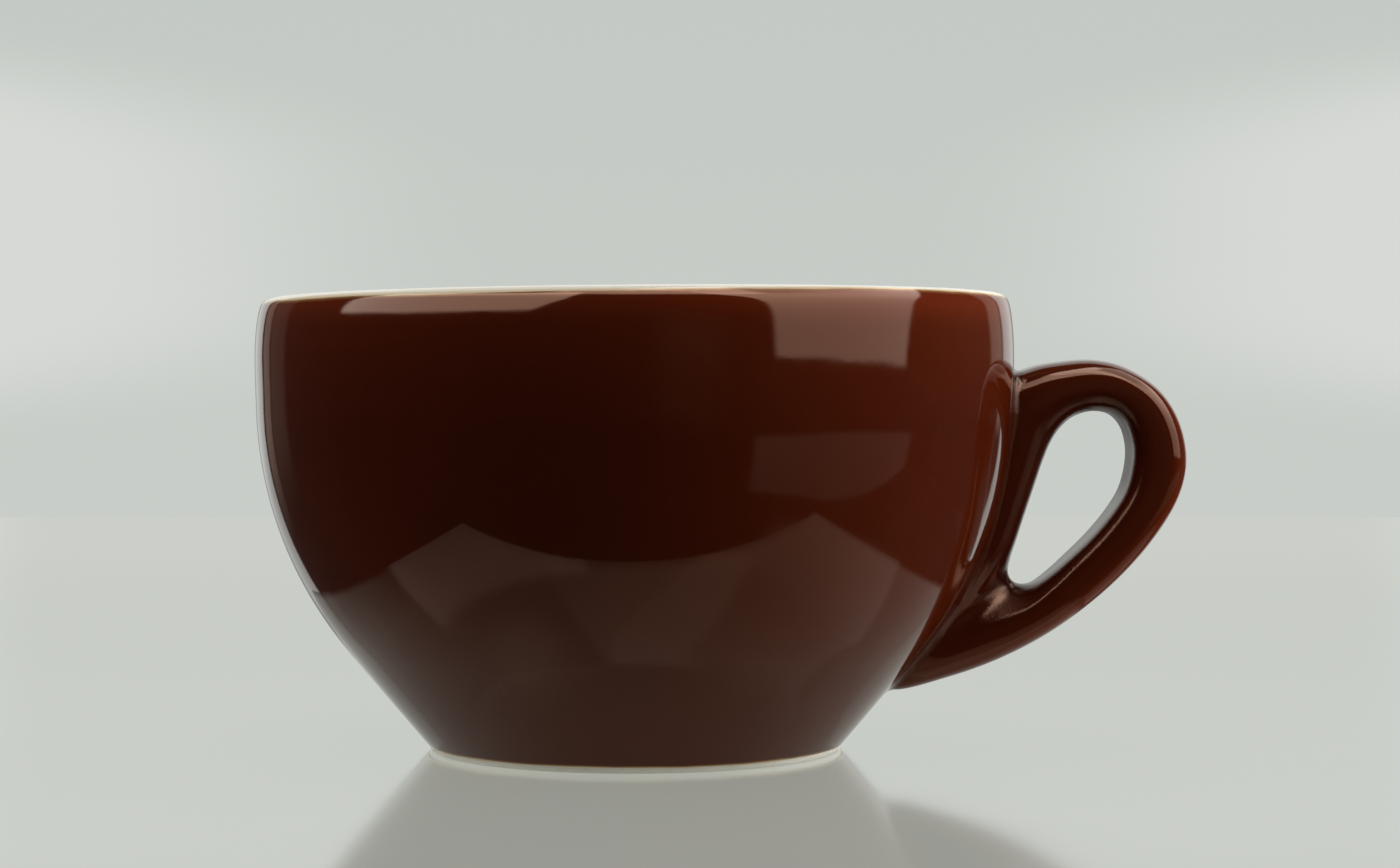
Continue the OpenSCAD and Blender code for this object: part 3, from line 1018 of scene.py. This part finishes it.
# high up, the window and the overhead light end along one slanting edge
near_side = w.ramp(w.math("SUBTRACT", w.math("MULTIPLY_ADD", X, 1.25, -0.06), Y), -0.05, 0.05)
window = tinted(w.math("MULTIPLY", window, near_side), w.math("MULTIPLY", w.ramp(el, 6, 38, 1.9, 4.3), w.ramp(el, 40, 52, 1.0, 0.5)), PALE)
left_low = poly(w.math("ADD", az, 96.0), 12.6, 0.078)
left_low = w.math("ADD", left_low, poly(w.math("MAXIMUM", w.math("ADD", az, 31.0), 0.0), 0.0, 0.10, 0.110))
left_box = tinted(w.math("MULTIPLY", between(az, -97.5, -18.0, 1.5), between(el, left_low, 49.0, 1.2)), w.ramp(el, 28, 42, 3.3, 6.0), PALE)
ceiling = w.math("MAXIMUM", w.ramp(Z, math.sin(math.radians(72)), math.sin(math.radians(77))), w.math("MULTIPLY", between(az, -34.0, 46.0, 5.0), w.ramp(el, 39.5, 43.5)))
ceiling = tinted(w.math("MULTIPLY", ceiling, near_side), w.ramp(X, -0.30, -0.04, 2.3, 4.1, "LINEAR"), PALE)
mirror_low = poly(w.math("MAXIMUM", w.math("SUBTRACT", az, 60.0), 0.0), -24.5, 0.0, 0.0115)
mirror = tinted(w.math("MULTIPLY", between(az, 36.5, 90.5, 1.6), between(el, mirror_low, poly(w.math("SUBTRACT", az, 37.0), -9.8, 0.055), 0.9)), w.ramp(el, -22, -9, 0.20, 0.27, "LINEAR"), PALE)
front = tinted(patch(8, 26, -4, 14, 6, 8), 0.10, WARM)
# the pale table to the right of the cup, as the handle's lower edge mirrors it
table = tinted(w.math("MULTIPLY", w.ramp(el, -29.0, -36.0), w.math("MULTIPLY", w.ramp(az, 42.0, 60.0), w.ramp(az, 178.0, 152.0))), 0.38, SHEET)
low_side = w.ramp(el, -8, -2, 0.75, 1.0)
behind = w.math("SUBTRACT", 180.0, w.math("ABSOLUTE", az))
low_side = w.math("MULTIPLY", low_side, w.math("ADD", w.ramp(behind, 20, 13, 1.0, 0.0), w.math("MULTIPLY", w.ramp(behind, 20, 13), w.ramp(el, 3.0, 10.0, 0.36, 0.88, "LINEAR"))))
tall = w.ramp(el, 50, 44)
back_r = tinted(w.math("MULTIPLY", w.math("MULTIPLY", w.ramp(az, 145.5, 147.5), low_side), tall), 0.90, SHEET)
back_l = tinted(w.math("MULTIPLY", w.math("MULTIPLY", w.ramp(az, -148.0, -149.5), low_side), tall), 0.90, SHEET)
edge_r = tinted(patch(134.0, 145.0, -3, 50), 0.40, WARM)
edge_l = tinted(w.math("MULTIPLY", between(az, -146.5, -139.8, 0.8), w.ramp(el, -14, -2)), 0.30, WARM)
edge_l2 = tinted(w.math("MULTIPLY", between(az, -138.5, -126.5, 1.6), w.ramp(el, -14, -2)), 0.10, WARM)
room = tinted(w.math("ADD", 0.0, 1.0), 0.030, PALE)
gloss = total_of(window, left_box, ceiling, mirror, front, table, back_r, back_l, edge_r, edge_l, edge_l2, room)
# what lights the matt part of every surface: soft light from the right, from behind and from above
SOFT = ((108, -6, 5.0, 6.2), (-120, 8, 4.0, 1.75), (0, 90, 4.0, 2.05))
SOFT_ALL = 0.075
soft = total_of(*[tinted(lobe(a, e, p), k, PALE) for a, e, p, k in SOFT], tinted(w.math("ADD", 0.0, 1.0), SOFT_ALL, PALE))
path = w.add("ShaderNodeLightPath")
choose = w.add("ShaderNodeMix", data_type="VECTOR")
w.links.new(path.outputs["Is Glossy Ray"], choose.inputs[0])
w.links.new(soft, choose.inputs[4])
w.links.new(gloss, choose.inputs[5])
light = w.add("ShaderNodeBackground")
w.links.new(choose.outputs[1], light.inputs["Color"])
seen = w.add("ShaderNodeBackground")
side = w.math("MULTIPLY", w.math("ABSOLUTE", w.math("SUBTRACT", w.math("ABSOLUTE", az), 180.0)), w.math("MULTIPLY", w.ramp(el, 9.0, 4.0), w.ramp(el, -3.0, 2.0)))
seen_tone = w.mix(w.ramp(el, -4, 9), (0.588, 0.613, 0.584), (0.55, 0.585, 0.555))
seen_tone = w.mix(w.ramp(side, 4, 13), seen_tone, (0.675, 0.695, 0.665))
w.links.new(seen_tone, seen.inputs["Color"])
mixer = w.add("ShaderNodeMixShader")
w.links.new(path.outputs["Is Camera Ray"], mixer.inputs[0])
w.links.new(light.outputs[0], mixer.inputs[1])
w.links.new(seen.outputs[0], mixer.inputs[2])
out = w.add("ShaderNodeOutputWorld")
w.links.new(mixer.outputs[0], out.inputs[0])


cam_data = bpy.data.cameras.new("camera")
cam_data.sensor_fit = "HORIZONTAL"
cam_data.sensor_width = 36
cam_data.lens = 71.74
cam_data.clip_start = 0.01
cam = bpy.data.objects.new("camera", cam_data)
cam.location = (0.00805, -0.3486, 0.0452)
cam.rotation_euler = (math.pi / 2 - 0.0177, 0, 0)
bpy.context.scene.collection.objects.link(cam)
bpy.context.scene.camera = cam
bpy.context.scene.view_settings.view_transform = "Standard"

lo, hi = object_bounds()
